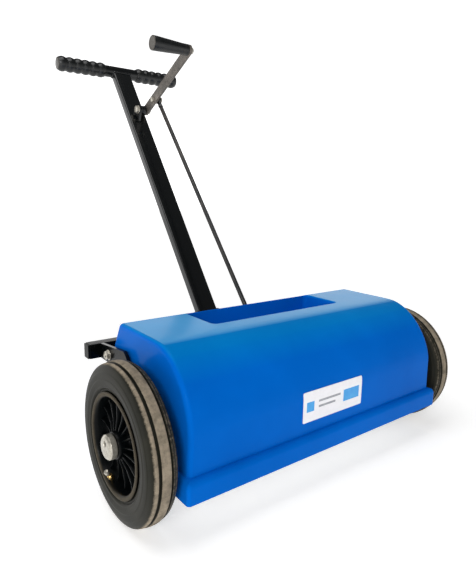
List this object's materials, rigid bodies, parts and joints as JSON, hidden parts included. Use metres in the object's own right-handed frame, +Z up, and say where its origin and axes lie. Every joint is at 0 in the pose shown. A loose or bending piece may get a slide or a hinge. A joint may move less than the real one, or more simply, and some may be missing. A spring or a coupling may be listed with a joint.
{
  "type": "magnetic nail sweeper",
  "caption": "Push-along magnetic sweeper with a blue moulded hood, two pneumatic wheels, a leaning T-handle and a hand lever that lifts the magnets off the tray to drop nails.",
  "frame": {"origin": "centre of the footprint on the floor under the wheels and stand foot", "axes": "+Z up, -Y towards the front of the hood, +X to the right-hand side seen from the front"},
  "size_m": [0.754, 0.8818, 0.8495],
  "materials": {
    "hood_blue": "glossy mid-blue rotomoulded plastic",
    "label_white": "white printed label with plain grey bars and a blue block",
    "black_paint": "black powder coat, satin",
    "black_plastic": "black moulded plastic",
    "grip_rubber": "black moulded rubber, lightly dusty",
    "tyre_rubber": "dark grey rubber with tan dust on the ribs",
    "zinc": "bright zinc-plated steel",
    "stainless": "brushed stainless sheet",
    "brass": "turned brass",
    "magnet_ferrite": "dark grey sintered ferrite block"
  },
  "bodies": {
    "chassis": {"hood": "hood_blue", "label_plate": "label_white", "base_tray": "stainless", "rear_cross_bar": "black_paint", "end_plate_left": "black_paint", "side_arm_left": "black_paint", "cross_bar_cap_left": "black_plastic", "axle_left": "zinc", "axle_nut_left": "zinc", "hood_bolt_left": "zinc", "hood_nut_left": "zinc", "shaft_bush_left": "brass", "guide_rod_left": "stainless", "end_plate_right": "black_paint", "side_arm_right": "black_paint", "cross_bar_cap_right": "black_plastic", "axle_right": "zinc", "axle_nut_right": "zinc", "hood_bolt_right": "zinc", "hood_nut_right": "zinc", "shaft_bush_right": "brass", "guide_rod_right": "stainless", "handle_column": "black_paint", "t_bar": "black_paint", "grip_left": "grip_rubber", "grip_right": "grip_rubber", "handle_cheek_left": "black_paint", "handle_cheek_right": "black_paint", "handle_bolt_lower": "zinc", "handle_bolt_upper": "zinc", "stand_leg": "black_paint", "stand_foot": "grip_rubber", "lever_bracket": "black_paint", "pivot_bolt": "zinc", "pivot_sleeve": "black_paint"},
    "wheel_left": {"tyre_left": "tyre_rubber", "rim_left": "black_plastic", "hub_bush_left": "brass", "valve_left": "brass"},
    "wheel_right": {"tyre_right": "tyre_rubber", "rim_right": "black_plastic", "hub_bush_right": "brass", "valve_right": "brass"},
    "lever": {"lever_arm": "black_paint", "lever_grip": "grip_rubber", "lever_grip_bolt": "zinc", "rod_upper_bolt": "zinc"},
    "rod": {"lift_rod": "black_paint", "rod_eye": "black_paint", "rod_fork": "zinc", "rod_lower_pin": "zinc"},
    "lift_shaft": {"lift_shaft": "zinc", "drive_crank": "black_paint", "lift_arm_left": "black_paint", "lift_arm_right": "black_paint"},
    "magnet_carriage": {"magnet_carrier": "black_paint", "magnet_1": "magnet_ferrite", "magnet_2": "magnet_ferrite", "magnet_3": "magnet_ferrite", "magnet_4": "magnet_ferrite"}
  },
  "joints": [
    {"name": "magnet_lift", "type": "slide", "parent": "chassis", "child": "magnet_carriage", "axis": [0, 0, 1], "range_m": [0, 0.06]},
    {"name": "lever_pull", "type": "hinge", "parent": "chassis", "child": "lever", "pos_m": [0.021, 0.30538, 0.71913], "axis": [-1, 0, 0], "range_deg": [0, 61]},
    {"name": "lift_shaft_turn", "type": "hinge", "parent": "chassis", "child": "lift_shaft", "pos_m": [0, -0.16726, 0.15], "axis": [-1, 0, 0], "range_deg": [0, 61]},
    {"name": "rod_swing", "type": "hinge", "parent": "lever", "child": "rod", "pos_m": [0.033, 0.26072, 0.74226], "axis": [1, 0, 0], "range_deg": [0, 60]},
    {"name": "wheel_left_spin", "type": "hinge", "parent": "chassis", "child": "wheel_left", "pos_m": [-0.3405, -0.3139, 0.127], "axis": [1, 0, 0], "continuous": true},
    {"name": "wheel_right_spin", "type": "hinge", "parent": "chassis", "child": "wheel_right", "pos_m": [0.3405, -0.3139, 0.127], "axis": [1, 0, 0], "continuous": true}
  ],
  "couplings": [
    {"joint": "lever_pull", "follows": "magnet_lift", "rad_per_m": 17.453},
    {"joint": "lift_shaft_turn", "follows": "magnet_lift", "rad_per_m": 17.453},
    {"joint": "rod_swing", "follows": "magnet_lift", "rad_per_m": 17.104}
  ]
}
